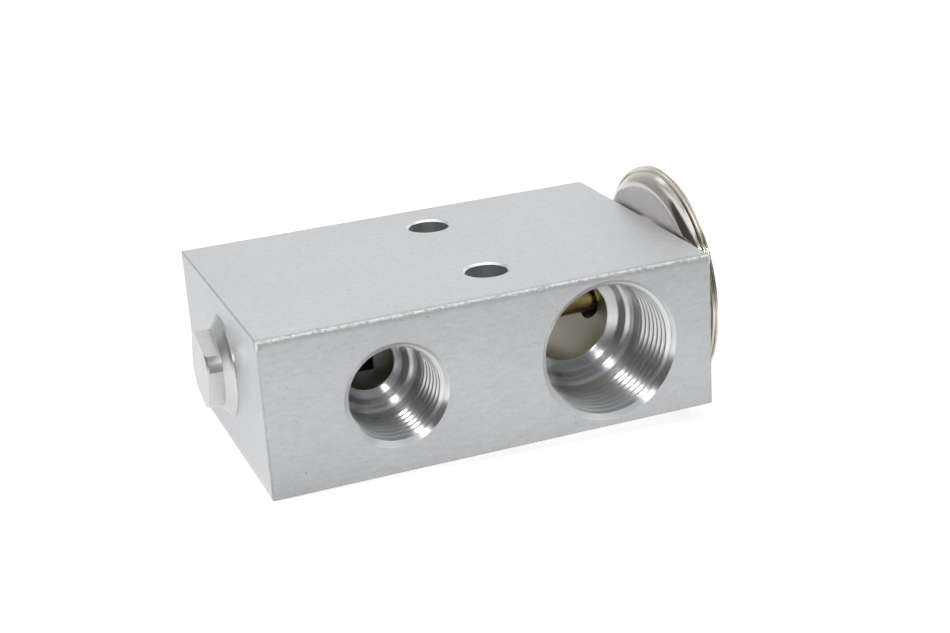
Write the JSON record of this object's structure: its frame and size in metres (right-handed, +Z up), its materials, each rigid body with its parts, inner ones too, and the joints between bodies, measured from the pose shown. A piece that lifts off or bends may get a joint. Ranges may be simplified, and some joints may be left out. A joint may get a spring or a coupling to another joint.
{
  "type": "expansion valve",
  "caption": "Block expansion valve: an aluminium block with threaded liquid and suction ports, clamp holes, a diaphragm head on one end and a plug over the spring.",
  "frame": {"origin": "centre of the two clamp holes, half way through the block's thickness", "axes": "+X along the valve axis towards the power head, -Y towards the port side seen in the picture, +Z up along the clamp holes"},
  "size_m": [0.0834, 0.0483, 0.0392],
  "materials": {
    "machined_aluminium": "satin",
    "plug_metal": "satin",
    "polished_stainless": "polished",
    "bright_steel": "polished",
    "spring_steel": "satin",
    "brass": "satin",
    "seal_rubber": "matte",
    "washer_plastic": "matte"
  },
  "bodies": {
    "valve_block": {"block_body": "machined_aluminium", "end_plug": "plug_metal", "plug_seal": "seal_rubber", "adjusting_nut": "brass", "superheat_spring": "spring_steel", "rod_seal": "seal_rubber", "backup_washer": "washer_plastic", "seal_retainer": "spring_steel", "head_seal": "seal_rubber", "head_lower_cover": "polished_stainless", "diaphragm": "bright_steel", "head_upper_cover": "polished_stainless", "charge_plug": "bright_steel"},
    "valve_train": {"diaphragm_support": "machined_aluminium", "sensing_rod": "brass", "push_pin": "bright_steel", "valve_ball": "bright_steel", "ball_carrier": "brass", "damper_ring": "spring_steel"}
  },
  "joints": [
    {"name": "valve_stroke", "type": "slide", "parent": "valve_block", "child": "valve_train", "axis": [-1, 0, 0], "range_m": [-0.0004, 0.0006], "stiffness_N_per_m": 8300, "deforming": ["superheat_spring", "diaphragm"]}
  ]
}
